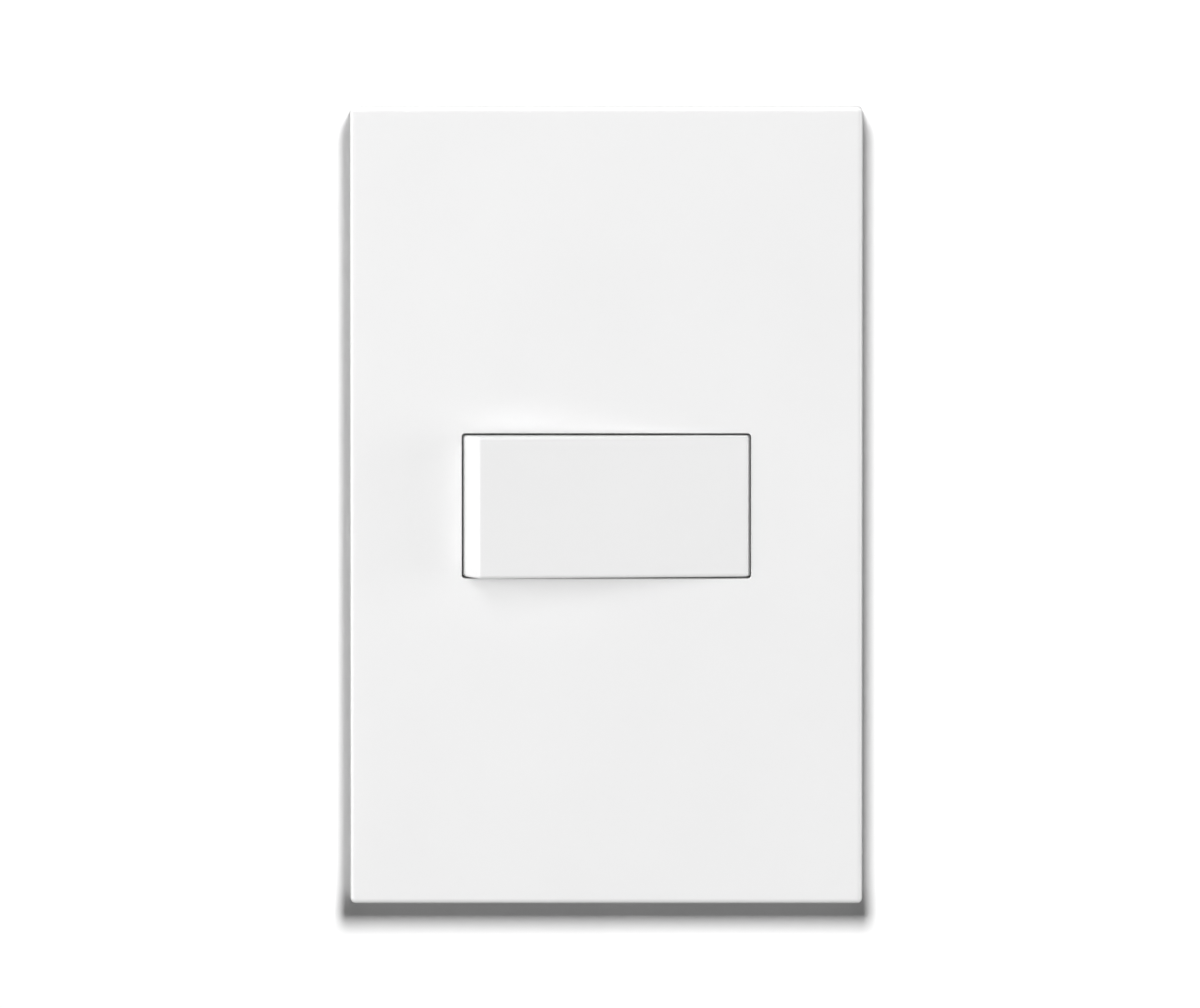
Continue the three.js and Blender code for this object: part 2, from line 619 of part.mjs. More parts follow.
function terminalBlock() {
  const { x, width, front, back, halfHeight, endWall, wireRadius, wireZ } = TERMINAL;
  const block = box(x - width / 2, x + width / 2, front, back, -halfHeight, halfHeight);
  const wireBore = rodY(wireRadius, front + endWall, back + PAST, x, wireZ);
  const tapped = rodZ(CLAMP_SCREW.hole, wireZ, halfHeight + PAST, x, CLAMP_SCREW.y, 20);
  return cut(block, wireBore, tapped, stripRivetHole());
}

function terminalScrew() {
  const { radius, head, headHeight, tip, headBase, chamfer, y } = CLAMP_SCREW;
  const top = headBase + headHeight;
  const profile = [
    [0, tip],
    [radius - chamfer, tip],
    [radius, tip + chamfer],
    [radius, headBase],
    [head, headBase],
    [head, top - chamfer],
    [head - chamfer, top],
    [0, top],
  ];
  const { depth, halfWidth } = CLAMP_SLOT;
  const slot = box(-head - PAST, head + PAST, top - depth, top + PAST, -halfWidth, halfWidth);
  const upright = cut(turnedY(profile), slot).rotate([90, 0, 0]);
  return upright.translate([TERMINAL.x, y, 0]);
}

// ---------------------------------------------------------------- materials and assembly

const finish = (color, roughness, metalness = 0) =>
  new THREE.MeshStandardMaterial({ color, roughness, metalness });
const glossWhite = finish("#f3f4f4", 0.22);
const frameWhite = finish("#e9eae8", 0.5);
const housingGrey = finish("#d9dad6", 0.55);
const naturalNylon = finish("#e8e4d6", 0.45);
const zincSteel = finish("#b9bcbf", 0.35, 1);
const springSteel = finish("#8f9296", 0.3, 1);
const brass = finish("#c8a24a", 0.32, 1);
const copper = finish("#c07a4c", 0.35, 1);
const silver = finish("#d8d8d4", 0.25, 1);

function piece(name, manifold, material) {
  const mesh = new THREE.Mesh(geometryOf(manifold), material);
  mesh.name = name;
  return mesh;
}

const rocker = new THREE.Group();
rocker.position.set(0, PIVOT_Y, 0);
rocker.rotation.z = ROCK;
rocker.add(
  piece("rocker_cap", rockerCap(), glossWhite),
  piece("rocker_carrier", rockerCarrier(), naturalNylon),
  piece("plunger", plungerPin(), naturalNylon),
  piece("plunger_spring", plungerSpring(), springSteel),
);

const lever = new THREE.Group();
lever.position.set(0, LEVER_PIVOT_Y, 0);
lever.rotation.z = -LEVER_RATIO * ROCK;
lever.add(
  piece("contact_lever", contactLever(), copper),
  piece("moving_contact", movingContact(), silver),
);

const upperBoxScrew = boxScrew().translate([0, 0, BOX_PITCH / 2]);
const block = terminalBlock();
const clampScrew = terminalScrew();
const rivet = stripRivet();

const wallSwitch = new THREE.Group();
wallSwitch.add(
  piece("wall_plate", wallPlate(), glossWhite),
  piece("support_frame", supportFrame(), frameWhite),
  piece("box_screw_upper", upperBoxScrew, zincSteel),
  piece("box_screw_lower", mirrorZ(upperBoxScrew), zincSteel),
  piece("module_frame", moduleFrame(), frameWhite),
  piece("housing_base", housingBase(), housingGrey),
  piece("common_contact_strip", commonStrip(), brass),
  piece("switched_contact_strip", switchedStrip(), brass),
  piece("fixed_contact", fixedContact(), silver),
  piece("common_terminal_block", mirrorX(block), brass),
  piece("switched_terminal_block", block, brass),
  piece("common_strip_rivet", mirrorX(rivet), brass),
  piece("switched_strip_rivet", rivet, brass),
  piece("common_terminal_screw", mirrorX(clampScrew), zincSteel),
  piece("switched_terminal_screw", clampScrew, zincSteel),
  rocker,
  lever,
);

export default wallSwitch;
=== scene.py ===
"""A rocker wall switch: cover plate, rocker, support frame, and a module with its contacts and terminals.

Everything is in metres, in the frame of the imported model: x to the right, y into the wall, z up. The wall's
surface is the plane y = 0. The moving pieces are shaped about their own pivots and turned to where they rest.
"""

import json
import math

import bmesh
import bpy
import numpy as np
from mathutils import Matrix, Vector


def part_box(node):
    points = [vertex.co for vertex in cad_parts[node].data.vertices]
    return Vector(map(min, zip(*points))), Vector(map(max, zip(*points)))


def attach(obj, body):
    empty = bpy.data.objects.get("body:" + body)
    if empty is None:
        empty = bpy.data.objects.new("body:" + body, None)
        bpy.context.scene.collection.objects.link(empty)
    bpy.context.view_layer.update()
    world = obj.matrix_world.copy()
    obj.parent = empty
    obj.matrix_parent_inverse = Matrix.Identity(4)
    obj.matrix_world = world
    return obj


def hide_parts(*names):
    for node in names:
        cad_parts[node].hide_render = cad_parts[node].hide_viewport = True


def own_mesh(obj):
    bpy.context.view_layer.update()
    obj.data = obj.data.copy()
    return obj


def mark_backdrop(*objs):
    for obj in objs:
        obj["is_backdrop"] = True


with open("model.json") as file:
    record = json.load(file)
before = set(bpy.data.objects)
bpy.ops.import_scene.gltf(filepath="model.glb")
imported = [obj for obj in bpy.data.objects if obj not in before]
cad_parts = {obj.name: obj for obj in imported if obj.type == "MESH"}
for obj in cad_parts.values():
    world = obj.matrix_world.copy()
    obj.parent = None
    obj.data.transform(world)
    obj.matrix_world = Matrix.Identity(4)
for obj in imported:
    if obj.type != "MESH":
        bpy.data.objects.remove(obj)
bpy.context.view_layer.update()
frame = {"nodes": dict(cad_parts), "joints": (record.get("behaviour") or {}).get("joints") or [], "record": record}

MM = 0.001

# ---------------------------------------------------- sizes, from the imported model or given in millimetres

JOINTS = {joint["name"]: joint for joint in frame["joints"]}
PLATE_LOW, PLATE_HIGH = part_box("wall_plate")
CAP_LOW, CAP_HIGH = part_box("rocker_cap")

PLATE_WALL = 1.8 * MM
PLATE_SKIN = 2 * MM
PLATE_CORNER = 0.8 * MM
PLATE_EDGE = 0.7 * MM
PLATE_INSIDE = PLATE_LOW.y + PLATE_SKIN
WINDOW_HALF_WIDTH = 21.4 * MM
WINDOW_HALF_HEIGHT = 10.75 * MM
WINDOW_CORNER = 0.5 * MM
WINDOW_UNDERCUT = 0.6 * MM
WINDOW_EDGE = 0.18 * MM
PRY_NOTCH_HALF = 5 * MM
PRY_NOTCH_DEPTH = 1.6 * MM

# Ribs and hooks inside the plate, by their places across it and along its depth.
UPRIGHT_RIB = (26 * MM, 27 * MM)
UPRIGHT_RIB_BACK = -5 * MM
CROSS_RIB = (37.2 * MM, 38.2 * MM)
CROSS_RIB_BACK = -5.2 * MM
HOOK_INNER, HOOK_OUTER, HOOK_BARB = 28.5 * MM, 29.8 * MM, 31 * MM
HOOK_SHOULDER, HOOK_BARB_EDGE, HOOK_TIP = -1.2 * MM, -1.1 * MM, -0.3 * MM
HOOK_HEIGHT = 30 * MM
HOOK_HALF_WIDTH = 4 * MM
ROOT = 0.4 * MM
WALL_ROOT = 0.3 * MM

ROCKER_PIVOT = np.array(JOINTS["rocker_rock"]["pos_m"])
ROCKER_REST = math.radians(JOINTS["rocker_rock"]["range_deg"][1]) / 2
WINDOW_GAP = 0.42 * MM
PRESSED_END_PROUD = 0.2 * MM
PIVOT_DEPTH = ROCKER_PIVOT[1] - PLATE_LOW.y
KEY_RADIUS = math.hypot(WINDOW_HALF_WIDTH - WINDOW_GAP, PIVOT_DEPTH)
KEY_RISE = KEY_RADIUS * math.sin(math.asin((PIVOT_DEPTH + PRESSED_END_PROUD) / KEY_RADIUS) + ROCKER_REST)
KEY_HALF_HEIGHT = CAP_HIGH.z
KEY_DEPTH = 6.1 * MM
KEY_SKIN = 1.6 * MM
KEY_WALL = 1.2 * MM
KEY_FILLET = 0.5 * MM
KEY_CORNER = 0.45 * MM
KEY_LIP = 0.15 * MM
KEY_INSIDE_CORNER = 0.4 * MM
KEY_CEILING_EDGE = 0.3 * MM

LEVER_PIVOT = np.array(JOINTS["lever_tilt"]["pos_m"])
LEVER_REST = -ROCKER_REST * frame["record"]["behaviour"]["couplings"][0]["ratio"]
LEVER_TOP = -1.9 * MM
LEVER_THICKNESS = 0.8 * MM
STRIP_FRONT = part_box("switched_contact_strip")[0].y
STRIP_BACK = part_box("switched_contact_strip")[1].y

CONTACT_FACE_RADIUS = 1.6 * MM
CONTACT_SHANK_RADIUS = 0.85 * MM
CONTACT_HEAD_RADIUS = 1.3 * MM
CONTACT_PLACE = 9.5 * MM
FIXED_FACE_RADIUS = 1.55 * MM
FIXED_DOME_RADIUS = 1.45 * MM
RIVET_HEAD_RADIUS = 1.5 * MM
RIVET_SHANK_RADIUS = 0.8 * MM
SEAT = 0.1 * MM

BOX_SCREW_HEAD_RADIUS = 3.4 * MM
BOX_SCREW_HEAD_HEIGHT = 2.4 * MM
BOX_SCREW_CROWN = 0.9 * MM
BOX_SCREW_THREAD_RADIUS = 1.7 * MM
BOX_SCREW_PITCH = 0.6 * MM
CLAMP_HEAD_RADIUS = 2.6 * MM
CLAMP_HEAD_HEIGHT = 2 * MM
CLAMP_CROWN = 0.12 * MM
CLAMP_THREAD_RADIUS = 1.3 * MM
CLAMP_PITCH = 0.5 * MM


def turned_about_z(points, pivot, angle):
    """The points, given about a pivot, turned by an angle about the z direction and put in place."""
    across, into = points[..., 0], points[..., 1]
    turned = points.copy()
    turned[..., 0] = across * math.cos(angle) - into * math.sin(angle)
    turned[..., 1] = across * math.sin(angle) + into * math.cos(angle)
    return turned + pivot


# ------------------------------------------------------------------ meshes from grids of points


def grid_faces(rows, columns, first, ring):
    """Four-cornered faces between neighbouring rows. Columns close on themselves, as do rows in a ring."""
    index = first + np.arange(rows * columns).reshape(rows, columns)
    here = index if ring else index[:-1]
    there = np.roll(index, -1, axis=0) if ring else index[1:]
    corners = (here, np.roll(here, -1, axis=1), np.roll(there, -1, axis=1), there)
    return np.stack(corners, axis=-1).reshape(-1, 4)


def piece_from_grids(name, grids, ring=False, crease=35):
    """A piece from closed grids of points, each rows by columns by 3.

    A grid's end rows meet in poles unless ring is set. Points that coincide are merged, the faces are turned
    outwards, and edges sharper than crease degrees stay crisp.
    """
    points = np.concatenate([grid.reshape(-1, 3) for grid in grids])
    starts = np.cumsum([0] + [grid.shape[0] * grid.shape[1] for grid in grids])
    faces = [grid_faces(*grid.shape[:2], start, ring) for grid, start in zip(grids, starts)]
    mesh = bpy.data.meshes.new(name)
    mesh.from_pydata(points.tolist(), [], np.concatenate(faces).tolist())
    shape = bmesh.new()
    shape.from_mesh(mesh)
    bmesh.ops.remove_doubles(shape, verts=shape.verts, dist=1e-7)
    bmesh.ops.recalc_face_normals(shape, faces=shape.faces)
    shape.to_mesh(mesh)
    shape.free()
    return placed(name, mesh, crease)


def placed(name, mesh, crease):
    """The mesh as an object of the switch, smooth but for its sharp edges."""
    mesh.polygons.foreach_set("use_smooth", np.ones(len(mesh.polygons), bool))
    mesh.set_sharp_from_angle(angle=math.radians(crease))
    piece = bpy.data.objects.new(name, mesh)
    bpy.context.scene.collection.objects.link(piece)
    return piece


def softened(node, edge, segments=2):
    """A merged copy of a CAD node, with its triangles joined into whole faces and its sharp edges rounded."""
    shape = bmesh.new()
    shape.from_mesh(frame["nodes"][node].data)
    bmesh.ops.remove_doubles(shape, verts=shape.verts, dist=1e-6)
    flat = math.radians(0.5)
    bmesh.ops.dissolve_limit(shape, angle_limit=flat, verts=shape.verts, edges=shape.edges)
    bmesh.ops.triangulate(shape, faces=[face for face in shape.faces if len(face.verts) > 4])
    any_shape = math.pi
    bmesh.ops.join_triangles(
        shape, faces=shape.faces, angle_face_threshold=flat, angle_shape_threshold=any_shape
    )
    name = node + "_moulding"
    mesh = bpy.data.meshes.new(name)
    shape.to_mesh(mesh)
    shape.free()
    piece = placed(name, mesh, 40)
    round_edges(piece, edge, segments)
    return piece


def round_edges(piece, edge, segments=2):
    """Rounds the sharp edges by a radius, and keeps the flats flat in the shading."""
    bevel = piece.modifiers.new("rounded edges", "BEVEL")
    bevel.width = edge
    bevel.segments = segments
    bevel.limit_method = "ANGLE"
    bevel.angle_limit = math.radians(40)
    bevel.miter_outer = "MITER_ARC"
    keep_flats_flat(piece)


def keep_flats_flat(piece):
    """Shading normals weighted by face area, so that a flat beside a rounded edge stays flat to the eye."""
    weighted = piece.modifiers.new("flat flats", "WEIGHTED_NORMAL")
    weighted.mode = "FACE_AREA"
    weighted.keep_sharp = True


# ------------------------------------------------------------------ curves and profiles


def side_shares(count, extra=()):
    """Where the columns lie along a straight side, as shares from -1 to 1 without the ends."""
    return np.unique(np.concatenate([np.linspace(-1, 1, count + 1)[1:-1], extra]))


def rounded_rings(half_width, half_height, corner, y, along_x, along_z, corner_steps=6):
    """Rings of points, one row for each entry of the four arrays, round a rectangle with rounded corners.

    A point is its share of the straight side plus the corner radius at its angle:
    x = share_x (half_width - corner) + corner cos(angle), and z the same with sin.
    """
    turn = np.linspace(0, math.pi / 2, corner_steps + 1)
    one_x, one_z, one_turn = np.ones_like(along_x), np.ones_like(along_z), np.ones_like(turn)
    share_x = [one_z, one_turn, along_x[::-1], -one_turn, -one_z, -one_turn, along_x, one_turn]
    share_z = [along_z, one_turn, one_x, one_turn, along_z[::-1], -one_turn, -one_x, -one_turn]
    angles = [0 * one_z, turn, 0 * one_x + math.pi / 2, turn + math.pi / 2]
    angle = np.concatenate(angles + [part + math.pi for part in angles])
    rows = (half_width, half_height, corner, y)
    half_width, half_height, corner, y = (np.asarray(row, float)[:, None] for row in rows)
    x = np.concatenate(share_x) * (half_width - corner) + corner * np.cos(angle)
    z = np.concatenate(share_z) * (half_height - corner) + corner * np.sin(angle)
    return np.stack(np.broadcast_arrays(x, y, z), axis=-1)


def quarter(steps):
    """Sine and one-minus-cosine of a quarter turn in steps, as a rounded edge runs from face to face."""
    turn = np.linspace(0, math.pi / 2, steps + 1)
    return np.sin(turn), 1 - np.cos(turn)


def turned_rows(radius, along, columns=48):
    """A profile of radii and places along y, turned about y: x = r cos(turn), z = r sin(turn)."""
    turn = np.linspace(0, 2 * math.pi, columns, endpoint=False)
    radius, along = np.asarray(radius, float)[:, None], np.asarray(along, float)[:, None]
    return np.stack(np.broadcast_arrays(radius * np.cos(turn), along, radius * np.sin(turn)), axis=-1)


def dome(radius, height, steps=8):
    """A shallow dome from its rim to its top: radii, and how far each lies above the rim."""
    turn = np.linspace(0, math.pi / 2, steps + 1)
    return radius * np.cos(turn), height * np.sin(turn)


# ------------------------------------------------------------------ cover plate


def plate_shell():
    """The cover plate as a closed ring of rows, each a rounded rectangle, carried round its wall's section.

    From the window's front edge: over the face, round the outer edge, down the side, across the rim, up the
    inside, over the back of the face, and through the window to where it began.
    """
    width, height = PLATE_HIGH.x, PLATE_HIGH.z
    rows = []

    def outer(inset, y):
        rows.append((width - inset, height - inset, max(PLATE_CORNER - inset, 0.06 * MM), y))

    def window(grow_x, grow_z, y, corner=WINDOW_CORNER):
        rows.append((WINDOW_HALF_WIDTH + grow_x, WINDOW_HALF_HEIGHT + grow_z, corner, y))

    def blend(start, end, shares):
        rows.extend(tuple(a + (b - a) * share for a, b in zip(start, end)) for share in shares)

    front, rim = PLATE_LOW.y, PLATE_HIGH.y
    sine, fall = quarter(5)
    for s, f in zip(sine, fall):
        grow = f * WINDOW_EDGE
        window(grow, grow, front + WINDOW_EDGE * (1 - s), WINDOW_CORNER + grow)
    face_edge = (width - PLATE_EDGE, height - PLATE_EDGE, 0.1 * MM, front)
    blend(rows[-1], face_edge, (0.004, 0.2, 0.4, 0.6, 0.8, 0.985))
    for s, f in zip(sine, fall):
        outer(PLATE_EDGE * (1 - s), front + PLATE_EDGE * f)
    lip = 0.1 * MM
    outer(0, rim - 4 * lip)
    outer(0, rim - lip)
    outer(lip, rim)
    outer(PLATE_WALL - lip, rim)
    outer(PLATE_WALL, rim - lip)
    inner_fillet = 0.5 * MM
    outer(PLATE_WALL, PLATE_INSIDE + inner_fillet)
    for s, f in list(zip(sine, fall))[1:]:
        outer(PLATE_WALL + inner_fillet * f, PLATE_INSIDE + inner_fillet * (1 - s))
    undercut_width = WINDOW_HALF_WIDTH + WINDOW_UNDERCUT
    behind_window = (undercut_width, WINDOW_HALF_HEIGHT, WINDOW_CORNER, PLATE_INSIDE)
    blend(rows[-1], behind_window, (0.02, 0.25, 0.5, 0.75, 0.98, 1))
    window(WINDOW_UNDERCUT * 0.5, 0, (PLATE_INSIDE + front) / 2)

    notch_edge = (PRY_NOTCH_HALF + np.array([-0.06, 0.06]) * MM) / (width - PLATE_CORNER)
    along_x = side_shares(26, np.concatenate([notch_edge, -notch_edge]))
    points = rounded_rings(*np.array(rows).T, along_x, side_shares(36))
    # The pry notch: the rim's lowest stretch, drawn forward.
    in_notch = (np.abs(points[..., 0]) < PRY_NOTCH_HALF) & (points[..., 2] < -height + 2 * PLATE_WALL)
    on_rim = points[..., 1] > rim - 5 * lip
    points[..., 1] -= PRY_NOTCH_DEPTH * (in_notch & on_rim)
    return points


def prism(outline, low, high):
    """An outline of (x, y) points carried straight along z, with its ends closed."""
    outline = np.array(outline, float)
    middle = outline.mean(axis=0)
    rows = [(outline * 0 + middle, low), (outline, low), (outline, high), (outline * 0 + middle, high)]
    return np.stack([np.column_stack([row, np.full(len(outline), z)]) for row, z in rows])


def bar(x0, x1, y0, y1, z0, z1):
    """A straight bar between two corners."""
    return prism([(x0, y0), (x1, y0), (x1, y1), (x0, y1)], z0, z1)


def plate_ribs():
    """The ribs and the four hooks inside the plate, rooted a little way into its skin."""
    root = PLATE_INSIDE - ROOT
    inside_x = PLATE_HIGH.x - PLATE_WALL + WALL_ROOT
    inside_z = PLATE_HIGH.z - PLATE_WALL + WALL_ROOT
    bars = []
    for side in (-1, 1):
        upright = sorted(side * x for x in UPRIGHT_RIB)
        cross = sorted(side * z for z in CROSS_RIB)
        bars.append(bar(*upright, root, UPRIGHT_RIB_BACK, -inside_z, inside_z))
        bars.append(bar(-inside_x, inside_x, root, CROSS_RIB_BACK, *cross))
        hook = [
            (side * HOOK_INNER, root),
            (side * HOOK_OUTER, root),
            (side * HOOK_OUTER, HOOK_SHOULDER),
            (side * HOOK_BARB, HOOK_BARB_EDGE),
            (side * HOOK_OUTER, HOOK_TIP),
            (side * HOOK_INNER, HOOK_TIP),
        ]
        for z in (-HOOK_HEIGHT, HOOK_HEIGHT):
            bars.append(prism(hook, z - HOOK_HALF_WIDTH, z + HOOK_HALF_WIDTH))
    return bars


# ------------------------------------------------------------------ rocker


def key_half_width(depth, inset=0.0):
    """Half the key's width at a depth below its face: a fillet at the face, then an arc about the pivot."""
    radius, rise = KEY_RADIUS - inset, KEY_RISE
    fillet_centre = math.sqrt((radius - KEY_FILLET) ** 2 - (rise - KEY_FILLET) ** 2)
    blend_depth = rise - radius * (rise - KEY_FILLET) / (radius - KEY_FILLET)
    over = np.sqrt(np.clip(KEY_FILLET**2 - (depth - KEY_FILLET) ** 2, 0, None))
    arc = np.sqrt(radius**2 - (rise - depth) ** 2)
    return np.where(depth < blend_depth, fillet_centre + over, arc)


def key_shell():
    """The rocker's cap as a closed shell of rounded rectangles, from the middle of its face to the inside.

    The ends are arcs about the pivot, so that the gap to the window never changes. The face runs into the
    ends and into the long sides through fillets.
    """
    rows = []
    sine, fall = quarter(8)
    face_width = float(key_half_width(np.array(0.0)))
    face_height = KEY_HALF_HEIGHT - KEY_FILLET
    for share in (0, 0.25, 0.5, 0.75, 0.995):
        rows.append((face_width * share, face_height * share, 0, -KEY_RISE))
    for s, f in zip(sine, fall):
        depth = KEY_FILLET * f
        half_height = KEY_HALF_HEIGHT - KEY_FILLET * (1 - s)
        corner = max(KEY_CORNER - KEY_FILLET * (1 - s), 0.04 * MM)
        rows.append((float(key_half_width(np.array(depth))), half_height, corner, depth - KEY_RISE))
    for depth in np.linspace(KEY_FILLET * 1.2, KEY_DEPTH - KEY_LIP, 9):
        rows.append((float(key_half_width(np.array(depth))), KEY_HALF_HEIGHT, KEY_CORNER, depth - KEY_RISE))
    bottom = KEY_DEPTH - KEY_RISE
    width = float(key_half_width(np.array(KEY_DEPTH)))
    rows.append((width - KEY_LIP, KEY_HALF_HEIGHT - KEY_LIP, KEY_CORNER - KEY_LIP, bottom))
    rows.append((width - KEY_WALL + KEY_LIP, KEY_HALF_HEIGHT - KEY_WALL + KEY_LIP, KEY_CORNER, bottom))
    inner_height = KEY_HALF_HEIGHT - KEY_WALL
    inner_radius = KEY_RADIUS - KEY_WALL
    ceiling = KEY_SKIN - KEY_RISE
    for y in np.linspace(bottom - KEY_LIP, ceiling + KEY_INSIDE_CORNER, 6):
        rows.append((math.sqrt(inner_radius**2 - y**2), inner_height, KEY_INSIDE_CORNER, y))
    ceiling_width = math.sqrt(inner_radius**2 - ceiling**2) - KEY_CEILING_EDGE
    ceiling_height = inner_height - KEY_CEILING_EDGE
    for share in (1, 0.97, 0.5, 0):
        rows.append((ceiling_width * share, ceiling_height * share, 0, ceiling))
    points = rounded_rings(*np.array(rows).T, side_shares(32), side_shares(16))
    return turned_about_z(points, ROCKER_PIVOT, ROCKER_REST)


def plunger_rows():
    """The sprung pin: a peg inside the spring, the body that slides in the tube, and a ball end."""
    ball, centre = 1.5 * MM, 10 * MM
    radii, above = dome(ball, ball, 10)
    # Radius and place along the pin, in millimetres.
    peg = [(0, 2.8), (0.75, 2.8), (0.9, 2.95), (0.9, 4.8)]
    slider = [(1.75, 4.8), (1.9, 4.95), (1.9, 8.35), (1.5, 8.75)]
    body = np.array(peg + slider) * MM
    radius = np.concatenate([body[:, 0], radii])
    along = np.concatenate([body[:, 1], centre + above])
    return turned_about_z(turned_rows(radius, along), ROCKER_PIVOT, ROCKER_REST)


SPRING_RADIUS = 1.45 * MM
SPRING_WIRE = 0.24 * MM
SPRING_SPAN = (-4.5 * MM + 0.35 * MM, 4.8 * MM - 0.35 * MM)


def spring_rows():
    """Round wire carried along a helix whose first and last turns lie almost flat.

    A point of the helix is (R cos t, y(t), R sin t), where y rises slowly over the end turns and steadily
    between them.
    """
    turns, per_turn, around = 9, 32, 10
    t = np.linspace(0, turns, turns * per_turn + 1)
    rate = 0.28 + 0.72 * np.clip(np.minimum(t, turns - t) - 0.6, 0, 0.6) / 0.6
    rise = np.concatenate([[0], np.cumsum((rate[1:] + rate[:-1]) / 2)])
    y = SPRING_SPAN[0] + (SPRING_SPAN[1] - SPRING_SPAN[0]) * rise / rise[-1]
    turn = 2 * math.pi * t
    out = np.stack([np.cos(turn), 0 * turn, np.sin(turn)], axis=-1)
    centre = out * SPRING_RADIUS + np.stack([0 * y, y, 0 * y], axis=-1)
    tube = np.linspace(0, 2 * math.pi, around, endpoint=False)[None, :, None]
    along = np.gradient(centre, axis=0)
    along /= np.linalg.norm(along, axis=1, keepdims=True)
    side = np.cross(along, out)
    rows = centre[:, None] + SPRING_WIRE * (np.cos(tube) * out[:, None] + np.sin(tube) * side[:, None])
    ends = [np.repeat(centre[i][None, None], around, axis=1) for i in (0, -1)]
    return turned_about_z(np.concatenate([ends[0], rows, ends[1]]), ROCKER_PIVOT, ROCKER_REST)


# ------------------------------------------------------------------ screws, contacts and rivets


def thread_rows(start, end, major, pitch, columns=40, rows_per_pitch=8, tip=1.6 * MM):
    """A screw thread as a grid: the radius swings between root and crest with the place along the pitch.

    phase = y / pitch - turn / full turn, and the crest follows a cosine clipped to narrow flats, as a rolled
    thread has. The last stretch tapers to a blunt point, and the first runs out into the shank.
    """
    depth = 0.6 * pitch
    y = np.linspace(start, end, int((end - start) / pitch * rows_per_pitch))[:, None]
    turn = np.linspace(0, 2 * math.pi, columns, endpoint=False)[None]
    wave = 0.5 + 0.5 * np.cos(2 * math.pi * (y / pitch - turn / (2 * math.pi)))
    crest = np.clip(1.25 * wave - 0.12, 0, 1)
    fade = np.clip((y - start) / (1.2 * pitch), 0, 1)
    taper = 1 - 0.55 * np.clip(1 - (end - y) / tip, 0, 1) ** 1.5
    radius = (major - depth + depth * crest * fade) * taper
    points = np.stack(np.broadcast_arrays(radius * np.cos(turn), y, radius * np.sin(turn)), axis=-1)
    pole = np.zeros((1, columns, 3))
    pole[..., 1] = end + 0.1 * MM
    return np.concatenate([points, pole])


def recessed_top(radius, y, crown, recess, columns=96, rows=44):
    """The top of a screw head from its rim to its middle: a shallow crown, cut by a recess.

    recess gives, for each point's x and z, how deep it is cut.
    """
    share = np.sin(np.linspace(math.pi / 2, 0, rows))[:, None]
    turn = np.linspace(0, 2 * math.pi, columns, endpoint=False)[None]
    x, z = radius * share * np.cos(turn), radius * share * np.sin(turn)
    height = y - crown * (1 - share**2) + recess(x, z)
    return np.stack([x, height + 0 * x, z], axis=-1)


def soft_step(distance, blur):
    """From 0 to 1 as the distance passes zero, over the blur."""
    t = np.clip(distance / blur + 0.5, 0, 1)
    return t * t * (3 - 2 * t)


def cross_recess(x, z):
    """A tapered cross for a driver bit: two bars, deepest in the middle."""
    arm, half_width, deepest, shallowest = 2 * MM, 0.42 * MM, 1.5 * MM, 0.3 * MM
    end_blur, side_blur = 0.16 * MM, 0.12 * MM
    along_x = soft_step(arm - np.abs(x), end_blur) * soft_step(half_width - np.abs(z), side_blur)
    along_z = soft_step(arm - np.abs(z), end_blur) * soft_step(half_width - np.abs(x), side_blur)
    depth = deepest * (1 - 0.5 * np.hypot(x, z) / arm)
    return np.clip(depth, shallowest, None) * np.maximum(along_x, along_z)


def slot_recess(x, z):
    """A straight slot right across."""
    depth, half_width, blur = 0.85 * MM, 0.4 * MM, 0.1 * MM
    return depth * soft_step(half_width - np.abs(z), blur)


def screw_rows(head_radius, head_front, head_back, crown, recess, major, pitch, end):
    """A whole screw along y as one grid: its top from the middle out, the head's side, seat and thread."""
    columns = 96
    rim = head_front + crown
    top = recessed_top(head_radius - 0.25 * MM, rim, crown, recess, columns)[::-1]
    lip = 0.1 * MM
    side = turned_rows(
        [head_radius - 0.12 * MM, head_radius, head_radius, head_radius - lip, major],
        [rim + 0.06 * MM, rim + 0.3 * MM, head_back - lip, head_back, head_back],
        columns,
    )
    thread = thread_rows(head_back + lip / 2, end - lip, major, pitch, columns)
    return np.concatenate([top, side, thread])


def box_screw_rows(z):
    """An M3.5 screw 25 mm long, with its pan head on the support frame."""
    low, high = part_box("box_screw_upper")
    rows = screw_rows(
        BOX_SCREW_HEAD_RADIUS,
        low.y,
        low.y + BOX_SCREW_HEAD_HEIGHT,
        BOX_SCREW_CROWN,
        cross_recess,
        BOX_SCREW_THREAD_RADIUS,
        BOX_SCREW_PITCH,
        high.y,
    )
    return rows + np.array([0, 0, z])


def clamp_screw_rows(node):
    """A terminal's cheese-head screw, along z with its head up."""
    low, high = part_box(node)
    centre = (low + high) / 2
    rows = screw_rows(
        CLAMP_HEAD_RADIUS,
        0,
        CLAMP_HEAD_HEIGHT,
        CLAMP_CROWN,
        slot_recess,
        CLAMP_THREAD_RADIUS,
        CLAMP_PITCH,
        high.z - low.z,
    )
    # The screw is made along y, and its y runs down from the head's top.
    return np.stack([rows[..., 0] + centre.x, rows[..., 2] + centre.y, high.z - rows[..., 1]], axis=-1)


